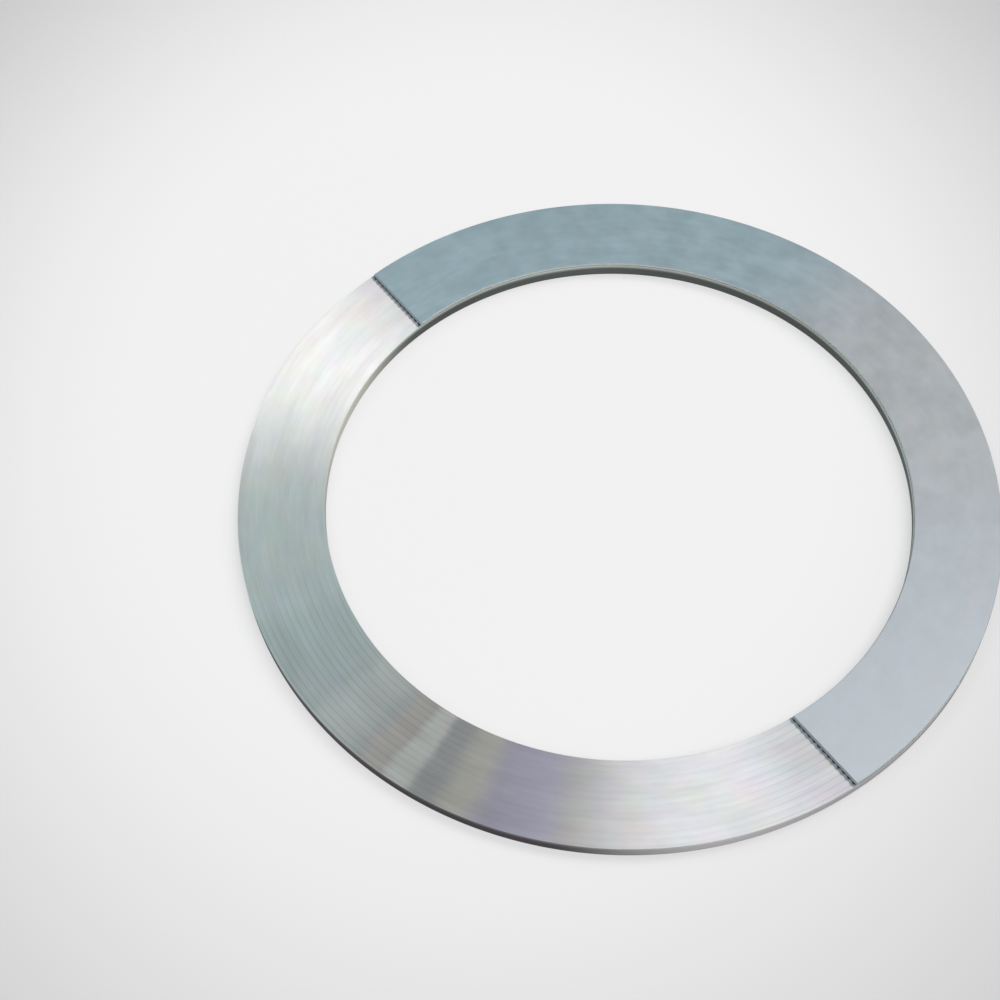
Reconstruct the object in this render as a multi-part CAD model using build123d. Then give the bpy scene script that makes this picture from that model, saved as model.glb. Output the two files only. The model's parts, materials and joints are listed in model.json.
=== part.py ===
"""Serrated metal gasket: a grooved steel core ring with a soft graphite facing on each sealing face.

Millimetres, +Z up. The origin is on the bore's axis, in the plane that the gasket rests on.
The lower facing is a whole ring. The upper facing is cut back along a straight line, so that
the turned grooves of the core lie bare on the -Y side of that line.
"""
from build123d import *
import os

# Core ring
bore_diameter = 115.0
ring_width = 17.0         # radial, from the bore to the rim
core_thickness = 2.5      # from the underside to the crests of the grooves
plain_edge = 0.1          # flat left on the grooved face beside the bore and beside the rim
groove_pitch = 1.3        # aimed at: whole grooves share out the width between the plain edges
groove_depth = 0.5

# Graphite facings
facing_thickness = 0.5
facing_set_back = 0.1     # from the bore and from the rim of the core
cut_line_offset = 6.0     # from the axis to the straight edge of the upper facing, towards -Y

# Worked out from the sizes above
bore_radius = bore_diameter / 2
outer_radius = bore_radius + ring_width
grooved_width = ring_width - 2 * plain_edge
groove_count = round(grooved_width / groove_pitch)
groove_width = grooved_width / groove_count
core_underside = facing_thickness
core_top = core_underside + core_thickness


def groove_line():
    """Section of the grooved face, from the bore to the rim: one V for each concentric groove."""
    points = [(bore_radius, core_top)]
    for groove in range(groove_count):
        crest = bore_radius + plain_edge + groove * groove_width
        points.append((crest, core_top))
        points.append((crest + groove_width / 2, core_top - groove_depth))
    points.append((outer_radius - plain_edge, core_top))
    points.append((outer_radius, core_top))
    return points


def make_core():
    """The turned ring: one section revolved about the bore's axis.

    The facing below it covers its underside all over, so that side is left flat.
    """
    flat_underside = [(outer_radius, core_underside), (bore_radius, core_underside)]
    section = Polyline(*groove_line(), *flat_underside, close=True)
    return revolve(make_face(Plane.XZ * section), Axis.Z)


def facing_outline():
    """The flat ring that a facing is punched to."""
    return Circle(outer_radius - facing_set_back) - Circle(bore_radius + facing_set_back)


def make_lower_facing():
    """A whole ring, between the core and the surface that the gasket rests on."""
    return extrude(facing_outline(), facing_thickness)


def make_upper_facing():
    """What is left of the ring that lies on the core's crests, past the straight cut."""
    kept_side = Rectangle(2 * outer_radius, outer_radius + cut_line_offset, align=(Align.CENTER, Align.MIN))
    kept_outline = facing_outline() & Pos(0, -cut_line_offset) * kept_side
    return extrude(Pos(0, 0, core_top) * kept_outline, facing_thickness)


pieces = {
    "serrated_core": make_core(),
    "lower_facing": make_lower_facing(),
    "upper_facing": make_upper_facing(),
}

os.makedirs("parts", exist_ok=True)
for name, piece in pieces.items():
    export_step(piece, f"parts/{name}.step")
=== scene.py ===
"""Looks of a serrated metal gasket: turned steel core, graphite facings, studio floor, lamps and camera.

Metres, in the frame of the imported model: the bore's axis is Z and the gasket rests on z = 0.
"""

import json
from math import cos, pi, radians, sin, tan

import bmesh
import bpy
from mathutils import Matrix, Vector


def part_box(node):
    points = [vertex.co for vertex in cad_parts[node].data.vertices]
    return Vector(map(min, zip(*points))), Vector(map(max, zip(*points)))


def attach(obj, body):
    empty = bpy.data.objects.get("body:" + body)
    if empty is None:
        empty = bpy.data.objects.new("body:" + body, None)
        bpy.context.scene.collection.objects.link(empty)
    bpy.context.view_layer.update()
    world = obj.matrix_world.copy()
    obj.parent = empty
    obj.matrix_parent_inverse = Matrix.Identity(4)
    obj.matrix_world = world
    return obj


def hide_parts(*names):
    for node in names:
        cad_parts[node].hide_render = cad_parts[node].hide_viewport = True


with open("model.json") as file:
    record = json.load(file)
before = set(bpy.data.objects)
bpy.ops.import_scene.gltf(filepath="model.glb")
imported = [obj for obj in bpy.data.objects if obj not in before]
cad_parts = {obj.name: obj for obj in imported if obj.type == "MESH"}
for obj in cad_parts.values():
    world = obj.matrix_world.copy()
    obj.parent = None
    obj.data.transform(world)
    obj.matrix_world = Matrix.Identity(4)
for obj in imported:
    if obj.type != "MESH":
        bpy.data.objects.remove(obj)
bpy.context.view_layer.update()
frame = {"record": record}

MM = 0.001

# Sizes read from the frame
core_low, core_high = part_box("serrated_core")
lower_low, lower_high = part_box("lower_facing")
upper_low, upper_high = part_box("upper_facing")
mounts = {mount["name"]: mount for mount in frame["record"]["mounts"]}
rim_radius = core_high.x
bore_radius = mounts["bore"]["dims"]["r_mm"] * MM
set_back = rim_radius - lower_high.x
cut_line = upper_low.y

# Sizes of the turned face
plain_edge = 0.1 * MM
groove_count = 13
groove_depth = 0.5 * MM
groove_width = (rim_radius - bore_radius - 2 * plain_edge) / groove_count

# How finely the round forms are divided, and how far from a corner its rounding starts, on the
# grooves' crests and roots and on the edges of the sheets
turns = 360
corner_segments = 3
groove_round = 0.06 * MM
sheet_round = 0.12 * MM

# Points closer than this are one, and edges sharper than this angle look sharp
merge_distance = 0.0001 * MM
crease_angle = radians(12)

# The upright part of a face's normal is less than this on the walls and more on the grooves' flanks
steep = 0.7

# The knife leans as it cuts the upper facing back
cut_lean = 0.25 * MM

# Painted shadow on the steel along the foot of the cut, and the share of its width over which it doesn't
# fade
seam_shadow_width = 0.85 * MM
seam_shadow_solid = 0.6
seam_shadow_colour = (0.26, 0.3, 0.315, 1)

# The range that noise mostly lies in, and how strong its finer octaves are
noise_range = (0.3, 0.7)
noise_roughness = 0.6

# Steel: its colour, how fine its tool marks and its streaks are, the range of the streaks' shade and of
# the marks' roughness, and the strength and height of the marks
steel_colour = (0.7, 0.705, 0.7, 1)
tool_marks = {"along": 1.5, "across": 9000}
steel_streaks = {"along": 4, "across": 400}
steel_shades = (0.93, 1.07)
steel_roughness = (0.46, 0.52)
mark_bumps = (0.15, 0.02 * MM)

# How much of the grooves' slope the light sees, because worn and polished flanks shine much alike
flank_share = 0.09

# Painted shade in the bottom of the grooves: its colour, its share of a groove's width on each side, how
# dark it is all round, and how much darker it is near some rays: direction and half width in degrees
root_shade_colour = (0.1, 0.11, 0.11, 1)
root_shade_share = 0.2
root_shade_darkness = 0.025
shaded_root_rays = ((272, 28, 0.15), (353, 17, 0.09))

# Painted reflections in faint rainbow colours on the turned face: direction and half width in degrees,
# and colour
painted_reflection_bands = (
    (261, 8, (0.63, 0.65, 0.65, 1)),
    (276, 6, (0.8, 0.78, 0.77, 1)),
    (283.5, 3.5, (0.82, 0.74, 0.71, 1)),
    (288.2, 3, (1, 0.97, 0.93, 1)),
    (293, 3.5, (0.69, 0.68, 0.68, 1)),
    (298, 5, (0.85, 0.83, 0.76, 1)),
    (306, 8, (0.7, 0.69, 0.8, 1)),
)

# Soft specks of colour on the steel: how fine, their share of the colour, and how far they push the
# painted reflections
speck_scale = 190
speck_share = 0.1
speck_push = 0.035

# Bore and rim: the two shades of the steel low down, darkened with painted shade, and high up, lightened
# with painted light, the share of the height that is all low, how fine the marks are each way, their
# strength and height, and the roughness
shaded_low_wall_colours = ((0.095, 0.11, 0.105, 1), (0.145, 0.165, 0.155, 1))
lit_high_wall_colours = ((0.56, 0.61, 0.56, 1), (0.68, 0.73, 0.67, 1))
low_share = 0.55
wall_marks = (60, 60, 6000)
wall_bumps = (0.3, 0.03 * MM)
wall_roughness = 0.4

# Painted light and shade on the bore and the rim, brighter on some sides and darker on others: direction
# and half width in degrees, and colour
low_wall_light_bands = (
    (290, 48, (0.075, 0.066, 0.074, 1)),
    (345, 34, (0.5, 0.485, 0.51, 1)),
    (217, 30, (0.46, 0.47, 0.42, 1)),
)
high_wall_light_bands = ((290, 48, (0.2, 0.19, 0.2, 1)),)

# Graphite sheet: its colours on the left and on the right, the right lighter and greyer with a painted
# highlight, and where along X one gives way to the other, in rim radii
sheet_left = (0.19, 0.305, 0.345, 1)
highlit_sheet_right = (0.305, 0.345, 0.375, 1)
sheet_change = (-0.5, 0.15)

# The greyer, lighter part of the sheet, a painted highlight: direction and half width in degrees, and
# colour
sheet_highlight_bands = ((72, 34, (0.325, 0.335, 0.335, 1)),)

# A pale haze on the sheet, its rolling streaks and their greatest share, its mottle and its roughness
sheet_haze = (0.34, 0.355, 0.38, 1)
haze_share = 0.17
streak_colour = (0.31, 0.4, 0.45, 1)
streak_share = 0.35
sheet_streaks = {"along": 9, "across": 700}
mottle_scale = 190
mottle_shades = (0.92, 1.08)
sheet_roughness = (0.31, 0.37)

# How the sheet reflects, how fine its grain is, and the grain's strength and height
sheet_ior = 2.0
grain_scale = 2500
grain_bumps = (0.1, 0.03 * MM)

# Edges of the sheets: how fine the crumbs are, their strength and height, and the roughness
crumb_scale = 1500
crumb_bumps = (0.4, 0.05 * MM)
edge_roughness = 0.6

# The two shades of each edge, lit and shaded copies of one graphite edge: punched out, lightened with
# painted light, under the core, darkened with painted shade, and cut along the line, lightened with
# painted light
lit_punched_shades = ((0.56, 0.61, 0.59, 1), (0.7, 0.75, 0.73, 1))
shaded_under_shades = ((0.08, 0.085, 0.09, 1), (0.13, 0.135, 0.14, 1))
lit_cut_shades = ((0.38, 0.435, 0.465, 1), (0.48, 0.535, 0.565, 1))

# Floor, in rim radii: its size, the middle of its painted pool of light, and how far from there it starts
# and stops getting darker
floor_size = 300
floor_middle = Vector((-0.54, -0.05, 0))
painted_floor_falloff = (0.88, 2.65)

# How many times longer its painted pool of light is one way, its colours near and far, and its finish
floor_stretch = 1.22
floor_bright = (0.885, 0.88, 0.88, 1)
floor_dark = (0.475, 0.472, 0.472, 1)
floor_roughness = 0.9
floor_gloss = 0.1

# How much of the floor's own colour the camera sees, against the floor as the lamps light it
backdrop_share = 0.65

# Camera: the point on the floor that it looks at and its distance from it, in rim radii, its angles,
# with the azimuth measured from the front, and its lens and sensor in mm
camera_aim = Vector((-0.1935, -0.2438, 0))
camera_distance = 5.085
camera_azimuth = radians(53.8)
camera_elevation = radians(57.2)
camera_roll = radians(-1.5)
camera_lens = 69
camera_sensor = 36

# Lamps: name, azimuth, elevation and half angle in degrees, radiance, and colour
lamps = (
    ("back", 75, 50, 14, 4.7, (1, 0.94, 0.88)),
    ("top", 101.5, 68, 12, 4.2, (0.91, 0.93, 1)),
    ("right", 351, 64, 18, 3.2, (0.985, 0.975, 1)),
    ("left", 182.5, 56, 17, 1.9, (0.73, 0.99, 0.98)),
    ("front", 292, 45, 10, 1.3, (0.95, 0.9, 1)),
)

# How far off the lamps stand, in rim radii, and the colour and strength of the plain sky
lamp_reach = 40
sky_colour = (1, 0.94, 0.95, 1)
sky_strength = 0.25


def shader_node(tree, kind, inputs=None, **settings):
    """A node with its settings and input values; a socket given as a value is linked."""
    node = tree.nodes.new(kind)
    for name, value in settings.items():
        setattr(node, name, value)
    for name, value in (inputs or {}).items():
        if isinstance(value, bpy.types.NodeSocket):
            tree.links.new(value, node.inputs[name])
        else:
            node.inputs[name].default_value = value
    return node


def number(tree, operation, *values, clamp=False):
    """The result of an operation on numbers."""
    node = shader_node(
        tree, "ShaderNodeMath", dict(enumerate(values)), operation=operation, use_clamp=clamp
    )
    return node.outputs["Value"]


def vector(tree, operation, *values):
    """The result of an operation on vectors, which is a number for a length or a dot product."""
    node = shader_node(tree, "ShaderNodeVectorMath", dict(enumerate(values)), operation=operation)
    return node.outputs["Value" if operation in ("LENGTH", "DOT_PRODUCT") else "Vector"]


def smooth_step(tree, value, start, end):
    """Rises smoothly from 0 at start to 1 at end."""
    node = shader_node(
        tree,
        "ShaderNodeMapRange",
        {"Value": value, "From Min": start, "From Max": end},
        interpolation_type="SMOOTHSTEP",
    )
    return node.outputs["Result"]


def part_of(tree, place, axis):
    """One coordinate of a place."""
    return shader_node(tree, "ShaderNodeSeparateXYZ", {"Vector": place}).outputs[axis]


def new_material(name):
    """An empty node material and its tree."""
    material = bpy.data.materials.new(name)
    material.use_nodes = True
    material.node_tree.nodes.clear()
    return material, material.node_tree


def finish_surface(tree, inputs):
    """Ends a material with a Principled shader that has these inputs."""
    shader = shader_node(tree, "ShaderNodeBsdfPrincipled", inputs)
    output = tree.nodes.new("ShaderNodeOutputMaterial")
    tree.links.new(shader.outputs["BSDF"], output.inputs["Surface"])


def object_place(tree):
    """Object coordinates."""
    return shader_node(tree, "ShaderNodeTexCoord").outputs["Object"]


def ring_direction(tree, place):
    """The direction from the ring's axis to a place."""
    return vector(tree, "NORMALIZE", vector(tree, "MULTIPLY", place, (1, 1, 0)))


def ring_distance(tree, place):
    """The distance from the ring's axis to a place."""
    return vector(tree, "LENGTH", vector(tree, "MULTIPLY", place, (1, 1, 0)))


def round_the_ring(tree, place, along, across):
    """Coordinates that follow the ring: slow along its turn, quick across its width.

    The direction from the axis, times along, plus the distance from the axis, times across.
    """
    slow = vector(tree, "MULTIPLY", ring_direction(tree, place), (along, along, along))
    quick = number(tree, "MULTIPLY", ring_distance(tree, place), across)
    lifted = shader_node(tree, "ShaderNodeCombineXYZ", {"Z": quick}).outputs["Vector"]
    return vector(tree, "ADD", slow, lifted)


def noise(tree, coordinates, detail, scale=1.0):
    """Soft noise, with more octaves for more detail."""
    node = shader_node(
        tree,
        "ShaderNodeTexNoise",
        {"Vector": coordinates, "Scale": scale, "Detail": detail, "Roughness": noise_roughness},
    )
    return node.outputs["Fac"]


def spread(tree, factor, low, high):
    """Maps a noise factor onto the range low to high."""
    start, end = noise_range
    node = shader_node(
        tree,
        "ShaderNodeMapRange",
        {"Value": factor, "From Min": start, "From Max": end, "To Min": low, "To Max": high},
    )
    return node.outputs["Result"]


def bumps(tree, height, strength, distance, **more):
    """A normal that follows small bumps. more may hold the Normal of the surface below them."""
    inputs = {"Height": height, "Strength": strength, "Distance": distance, **more}
    return shader_node(tree, "ShaderNodeBump", inputs).outputs["Normal"]


def blend_colours(tree, factor, colour_a, colour_b, **settings):
    """A mix of two colours."""
    node = shader_node(
        tree,
        "ShaderNodeMix",
        {"Factor": factor, "A": colour_a, "B": colour_b},
        data_type="RGBA",
        **settings,
    )
    return node.outputs[2]


def shade_colour(tree, colour, amount):
    """A colour times an amount, no brighter than white."""
    return blend_colours(tree, 1.0, colour, amount, blend_type="MULTIPLY", clamp_result=True)


def groove_roots(tree, distance):
    """1 along the bottom of each groove and 0 over its crests."""
    start = number(tree, "SUBTRACT", distance, bore_radius + plain_edge)
    turn = number(tree, "DIVIDE", start, groove_width)
    half = 0.5
    climb = number(tree, "PINGPONG", turn, half)
    return smooth_step(tree, climb, half - root_shade_share, half)


def towards(tree, outward, direction, half_width):
    """1 on the ray of the ring that points in a direction, 0 half a width away, both in degrees."""
    ray = (cos(radians(direction)), sin(radians(direction)), 0)
    likeness = vector(tree, "DOT_PRODUCT", outward, ray)
    return smooth_step(tree, likeness, cos(radians(half_width)), 1)


def add_bands(tree, outward, bands, colour):
    """Tints a colour near some rays of the ring."""
    for direction, half_width, tint in bands:
        colour = blend_colours(tree, towards(tree, outward, direction, half_width), colour, tint)
    return colour


def ease_flanks(tree):
    """The surface's normal, turned most of the way up on the flanks of the grooves."""
    slope = shader_node(tree, "ShaderNodeNewGeometry").outputs["Normal"]
    eased = vector(tree, "MULTIPLY_ADD", slope, (flank_share, flank_share, flank_share), (0, 0, 1))
    return vector(tree, "NORMALIZE", eased)


def turned_steel():
    """Bright turned steel: tool marks run round the ring, so it is rougher across them."""
    material, tree = new_material("turned_steel")
    place = object_place(tree)
    outward = ring_direction(tree, place)
    marks = round_the_ring(tree, place, **tool_marks)
    streaks = round_the_ring(tree, place, **steel_streaks)

    specks = shader_node(
        tree, "ShaderNodeTexNoise", {"Vector": place, "Scale": speck_scale, "Detail": 1}
    ).outputs["Color"]
    centred = vector(tree, "SUBTRACT", specks, (0.5, 0.5, 0.5))
    pushed = vector(tree, "MULTIPLY_ADD", centred, (speck_push, speck_push, 0), outward)
    colour = blend_colours(tree, speck_share, steel_colour, specks)
    # Painted reflections in bands round the ring
    colour = add_bands(tree, vector(tree, "NORMALIZE", pushed), painted_reflection_bands, colour)
    shade = spread(tree, noise(tree, streaks, detail=3), *steel_shades)
    colour = shade_colour(tree, colour, shade)

    # Painted shade in the grooves' bottoms, darker near some rays of the ring
    darkness = root_shade_darkness
    for direction, half_width, more in shaded_root_rays:
        here = towards(tree, outward, direction, half_width)
        darkness = number(tree, "MULTIPLY_ADD", here, more, darkness)
    root_shade = number(tree, "MULTIPLY", groove_roots(tree, ring_distance(tree, place)), darkness)
    colour = blend_colours(tree, root_shade, colour, root_shade_colour)

    # Painted shadow on the steel along the foot of the cut
    seam_shadow_start = cut_line - seam_shadow_width
    seam_shadow_full = cut_line - seam_shadow_solid * seam_shadow_width
    seam_shadow = smooth_step(tree, part_of(tree, place, "Y"), seam_shadow_start, seam_shadow_full)
    colour = blend_colours(tree, seam_shadow, colour, seam_shadow_colour)

    finish_surface(
        tree,
        {
            "Base Color": colour,
            "Metallic": 1.0,
            "Roughness": spread(tree, noise(tree, marks, detail=2), *steel_roughness),
            "Anisotropic": 1.0,
            "Tangent": outward,
            "Normal": bumps(tree, noise(tree, marks, detail=4), *mark_bumps, Normal=ease_flanks(tree)),
        },
    )
    return material


def turned_wall():
    """Bore and rim of the core: dull steel marked round the ring, painted shade towards the floor,
    painted light on some sides.
    """
    material, tree = new_material("turned_wall")
    place = object_place(tree)
    outward = ring_direction(tree, place)
    stretched = shader_node(tree, "ShaderNodeMapping", {"Vector": place, "Scale": wall_marks})
    lines = noise(tree, stretched.outputs["Vector"], detail=3)
    shade = spread(tree, lines, 0, 1)
    # Painted light and shade on some sides of the walls
    low = add_bands(tree, outward, low_wall_light_bands, blend_colours(tree, shade, *shaded_low_wall_colours))
    high = add_bands(tree, outward, high_wall_light_bands, blend_colours(tree, shade, *lit_high_wall_colours))
    # Painted shade low on the walls, rising to painted light at the top
    rise_start = core_low.z + low_share * (core_high.z - core_low.z)
    rise = smooth_step(tree, part_of(tree, place, "Z"), rise_start, core_high.z)
    finish_surface(
        tree,
        {
            "Base Color": blend_colours(tree, rise, low, high),
            "Metallic": 1.0,
            "Roughness": wall_roughness,
            "Anisotropic": 1.0,
            "Tangent": shader_node(tree, "ShaderNodeCombineXYZ", {"Z": 1.0}).outputs["Vector"],
            "Normal": bumps(tree, lines, *wall_bumps),
        },
    )
    return material


def graphite_sheet():
    """Satin blue-grey graphite sheet with faint rolling streaks round the ring, a soft mottle and a
    painted highlight.
    """
    material, tree = new_material("graphite_sheet")
    place = object_place(tree)
    streak = noise(tree, round_the_ring(tree, place, **sheet_streaks), detail=1)
    mottle = noise(tree, place, detail=2, scale=mottle_scale)
    # Painted highlight: lighter and greyer towards the right and on some rays
    change_start, change_end = (share * rim_radius for share in sheet_change)
    side = smooth_step(tree, part_of(tree, place, "X"), change_start, change_end)
    colour = blend_colours(tree, side, sheet_left, highlit_sheet_right)
    colour = add_bands(tree, ring_direction(tree, place), sheet_highlight_bands, colour)
    colour = blend_colours(tree, haze_share, colour, sheet_haze)
    colour = blend_colours(tree, spread(tree, streak, 0, streak_share), colour, streak_colour)
    colour = shade_colour(tree, colour, spread(tree, mottle, *mottle_shades))
    grain = noise(tree, place, detail=2, scale=grain_scale)
    finish_surface(
        tree,
        {
            "Base Color": colour,
            "Roughness": spread(tree, mottle, *sheet_roughness),
            "IOR": sheet_ior,
            "Normal": bumps(tree, grain, *grain_bumps),
        },
    )
    return material


def sheet_edge(name, dark, light):
    """An edge of the graphite sheet, crumbly and without the satin skin."""
    material, tree = new_material(name)
    crumbs = noise(tree, object_place(tree), detail=4, scale=crumb_scale)
    finish_surface(
        tree,
        {
            "Base Color": blend_colours(tree, spread(tree, crumbs, 0, 1), dark, light),
            "Roughness": edge_roughness,
            "Normal": bumps(tree, crumbs, *crumb_bumps),
        },
    )
    return material


def section_ring(points, rounded):
    """A ring turned about Z from a closed section of (radius, height) points.

    rounded gives, for some of the points, how far from the corner its rounding starts.
    """
    ring = bmesh.new()
    corners = [ring.verts.new((radius, 0, height)) for radius, height in points]
    for here, there in zip(corners, corners[1:] + corners[:1]):
        ring.edges.new((here, there))
    for size in sorted(set(rounded.values())):
        bmesh.ops.bevel(
            ring,
            geom=[corners[index] for index, wanted in rounded.items() if wanted == size],
            offset=size,
            segments=corner_segments,
            profile=0.5,
            affect="VERTICES",
            material=-1,
        )
    bmesh.ops.spin(
        ring,
        geom=ring.verts[:] + ring.edges[:],
        cent=(0, 0, 0),
        axis=(0, 0, 1),
        angle=2 * pi,
        steps=turns,
        use_merge=True,
    )
    bmesh.ops.remove_doubles(ring, verts=ring.verts[:], dist=merge_distance)
    bmesh.ops.recalc_face_normals(ring, faces=ring.faces[:])
    return ring


def make_piece(shape, name, materials):
    """A mesh object from a bmesh, smooth round the ring and sharp across its section."""
    for face in shape.faces:
        face.smooth = True
    mesh = bpy.data.meshes.new(name)
    shape.to_mesh(mesh)
    shape.free()
    for material in materials:
        mesh.materials.append(material)
    mesh.set_sharp_from_angle(angle=crease_angle)
    piece = bpy.data.objects.new(name, mesh)
    bpy.context.scene.collection.objects.link(piece)
    return piece


def make_core(steel, wall):
    """The turned core: V grooves with blunted crests and roots on its upper face, flat below.

    Its walls and its underside get the second of the piece's materials.
    """
    top = core_high.z
    points = [(bore_radius, top)]
    for groove in range(groove_count):
        crest = bore_radius + plain_edge + groove * groove_width
        points.append((crest, top))
        points.append((crest + groove_width / 2, top - groove_depth))
    points.append((rim_radius - plain_edge, top))
    points.append((rim_radius, top))
    rounded = {index: groove_round for index in range(2, len(points) - 2)}
    points.append((rim_radius, core_low.z))
    points.append((bore_radius, core_low.z))
    ring = section_ring(points, rounded)
    for face in ring.faces:
        if face.normal.z < steep:
            face.material_index = 1
    return make_piece(ring, "grooved_core", [steel, wall])


def facing_ring(low, high, rounded):
    """The punched ring of graphite sheet between two heights, with some of its corners rounded.

    Its upright faces get the second of the piece's materials.
    """
    inner = bore_radius + set_back
    outer = rim_radius - set_back
    points = [(inner, low), (outer, low), (outer, high), (inner, high)]
    ring = section_ring(points, {index: sheet_round for index in rounded})
    for face in ring.faces:
        if abs(face.normal.z) < steep:
            face.material_index = 1
    return ring


def make_lower_facing(sheet, edge):
    """The whole facing below the core, rounded where it rests on the floor."""
    ring = facing_ring(lower_low.z, lower_high.z, rounded=(0, 1))
    return make_piece(ring, "lower_sheet", [sheet, edge])


def make_upper_facing(sheet, punched, cut):
    """The upper facing, cut off along a straight line. The cut leans back from its lower edge."""
    ring = facing_ring(upper_low.z, upper_high.z, rounded=(2, 3))
    bmesh.ops.bisect_plane(
        ring,
        geom=ring.verts[:] + ring.edges[:] + ring.faces[:],
        plane_co=(0, cut_line, upper_low.z),
        plane_no=(0, upper_low.z - upper_high.z, cut_lean),
        clear_outer=True,
    )
    open_edges = [edge_line for edge_line in ring.edges if edge_line.is_boundary]
    ends = bmesh.ops.holes_fill(ring, edges=open_edges, sides=0)["faces"]
    for end in ends:
        end.material_index = 2
    bmesh.ops.recalc_face_normals(ring, faces=ring.faces[:])
    return make_piece(ring, "upper_sheet", [sheet, punched, cut])


def floor_surface():
    """Plain pale floor with a painted pool of light, darker away from its middle.

    The camera and clear reflections see part of it as a backdrop that gives out its own colour.
    """
    material, tree = new_material("studio_floor")
    centred = shader_node(
        tree,
        "ShaderNodeMapping",
        {
            "Vector": object_place(tree),
            "Location": floor_middle * rim_radius,
            "Rotation": (0, 0, camera_azimuth),
            "Scale": (1, floor_stretch, 1),
        },
        vector_type="TEXTURE",
    ).outputs["Vector"]
    # Painted pool of light: the floor darkens away from its middle
    fade_start, fade_end = (share * rim_radius for share in painted_floor_falloff)
    fade = smooth_step(tree, vector(tree, "LENGTH", centred), fade_start, fade_end)
    colour = blend_colours(tree, fade, floor_bright, floor_dark)
    matt = shader_node(
        tree,
        "ShaderNodeBsdfPrincipled",
        {"Base Color": colour, "Roughness": floor_roughness, "Specular IOR Level": floor_gloss},
    )
    glow = shader_node(tree, "ShaderNodeEmission", {"Color": colour, "Strength": 1.0})
    rays = shader_node(tree, "ShaderNodeLightPath").outputs
    direct = number(tree, "ADD", rays["Is Camera Ray"], rays["Is Glossy Ray"])
    backdrop = number(tree, "ADD", direct, rays["Is Transmission Ray"], clamp=True)
    mixed = shader_node(
        tree, "ShaderNodeMixShader", {"Fac": number(tree, "MULTIPLY", backdrop, backdrop_share)}
    )
    tree.links.new(matt.outputs["BSDF"], mixed.inputs[1])
    tree.links.new(glow.outputs["Emission"], mixed.inputs[2])
    output = tree.nodes.new("ShaderNodeOutputMaterial")
    tree.links.new(mixed.outputs["Shader"], output.inputs["Surface"])
    return material


def make_floor():
    """The floor under the gasket."""
    floor = bmesh.new()
    bmesh.ops.create_grid(floor, x_segments=1, y_segments=1, size=floor_size * rim_radius)
    piece = make_piece(floor, "floor", [floor_surface()])


def direction_to(azimuth, elevation):
    """The direction from the gasket to a place at these angles from X and from the floor."""
    flat = cos(elevation)
    return Vector((flat * cos(azimuth), flat * sin(azimuth), sin(elevation)))


def add_lamp(name, azimuth, elevation, half_angle, radiance, colour):
    """A round soft lamp that faces the gasket and covers half_angle degrees each side of its middle."""
    reach = lamp_reach * rim_radius
    lamp = bpy.data.lights.new(name, "AREA")
    lamp.shape = "DISK"
    lamp.size = 2 * reach * tan(radians(half_angle))
    area = pi * lamp.size**2 / 4
    lamp.energy = radiance * pi * area
    lamp.color = colour
    holder = bpy.data.objects.new(name, lamp)
    back = direction_to(radians(azimuth), radians(elevation))
    holder.location = back * reach
    holder.rotation_euler = back.to_track_quat("Z", "Y").to_euler()
    bpy.context.scene.collection.objects.link(holder)


def add_world():
    """A plain sky that lights the studio."""
    world = bpy.data.worlds.new("studio")
    world.use_nodes = True
    sky = world.node_tree.nodes["Background"]
    sky.inputs["Color"].default_value = sky_colour
    sky.inputs["Strength"].default_value = sky_strength
    bpy.context.scene.world = world


def add_camera():
    """Looks down on the gasket from its front right corner, with the gasket right of the middle."""
    camera = bpy.data.cameras.new("camera")
    camera.sensor_width = camera_sensor
    camera.lens = camera_lens
    holder = bpy.data.objects.new("camera", camera)
    back = direction_to(camera_azimuth - pi / 2, camera_elevation)
    turn = back.to_track_quat("Z", "Y").to_matrix() @ Matrix.Rotation(camera_roll, 3, "Z")
    holder.location = camera_aim * rim_radius + back * camera_distance * rim_radius
    holder.rotation_euler = turn.to_euler()
    bpy.context.scene.collection.objects.link(holder)
    bpy.context.scene.camera = holder


steel = turned_steel()
wall = turned_wall()
sheet = graphite_sheet()
# Lit and shaded copies of one graphite edge: painted light on the punched and cut edges, painted shade
# under the core
punched_edge = sheet_edge("punched_edge", *lit_punched_shades)
under_edge = sheet_edge("under_edge", *shaded_under_shades)
cut_edge = sheet_edge("cut_edge", *lit_cut_shades)

core = make_core(steel, wall)
lower_sheet = make_lower_facing(sheet, under_edge)
upper_sheet = make_upper_facing(sheet, punched_edge, cut_edge)
for piece, node, slot in (
    (core, "serrated_core", "turned_steel"),
    (lower_sheet, "lower_facing", "graphite_sheet"),
    (upper_sheet, "upper_facing", "graphite_sheet"),
):
    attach(piece, "root")
    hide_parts(node)

make_floor()
add_world()
for lamp_settings in lamps:
    add_lamp(*lamp_settings)
add_camera()
bpy.context.scene.view_settings.view_transform = "Standard"
